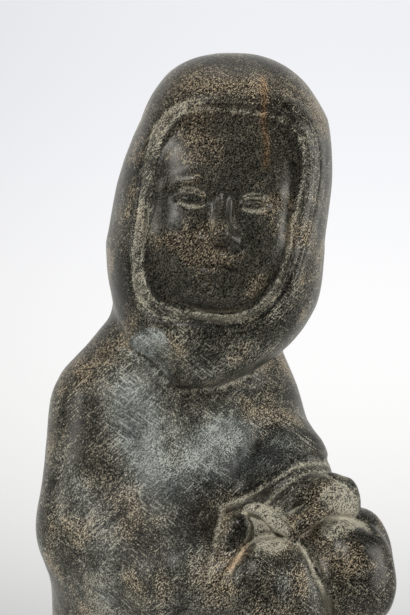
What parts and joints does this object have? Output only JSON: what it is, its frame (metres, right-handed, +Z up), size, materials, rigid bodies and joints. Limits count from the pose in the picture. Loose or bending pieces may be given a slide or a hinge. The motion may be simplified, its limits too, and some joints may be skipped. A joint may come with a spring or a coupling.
{
  "type": "stone figure sculpture",
  "caption": "Carved soapstone figure of a hooded hunter with both mittened hands held together in front, on a low base.",
  "frame": {"origin": "on the flat underside of the base, below the figure's trunk", "axes": "+Z up through the figure; the face looks along -Y; the body is turned about 30 degrees toward +X"},
  "size_m": [0.1486, 0.1451, 0.3549],
  "materials": {
    "soapstone": "dark grey-green and brown mottled soapstone, hand polished to a soft gloss, with pale unpolished cuts and fine scratches"
  },
  "bodies": {
    "root": {"hunter_carving": "soapstone"}
  },
  "joints": []
}
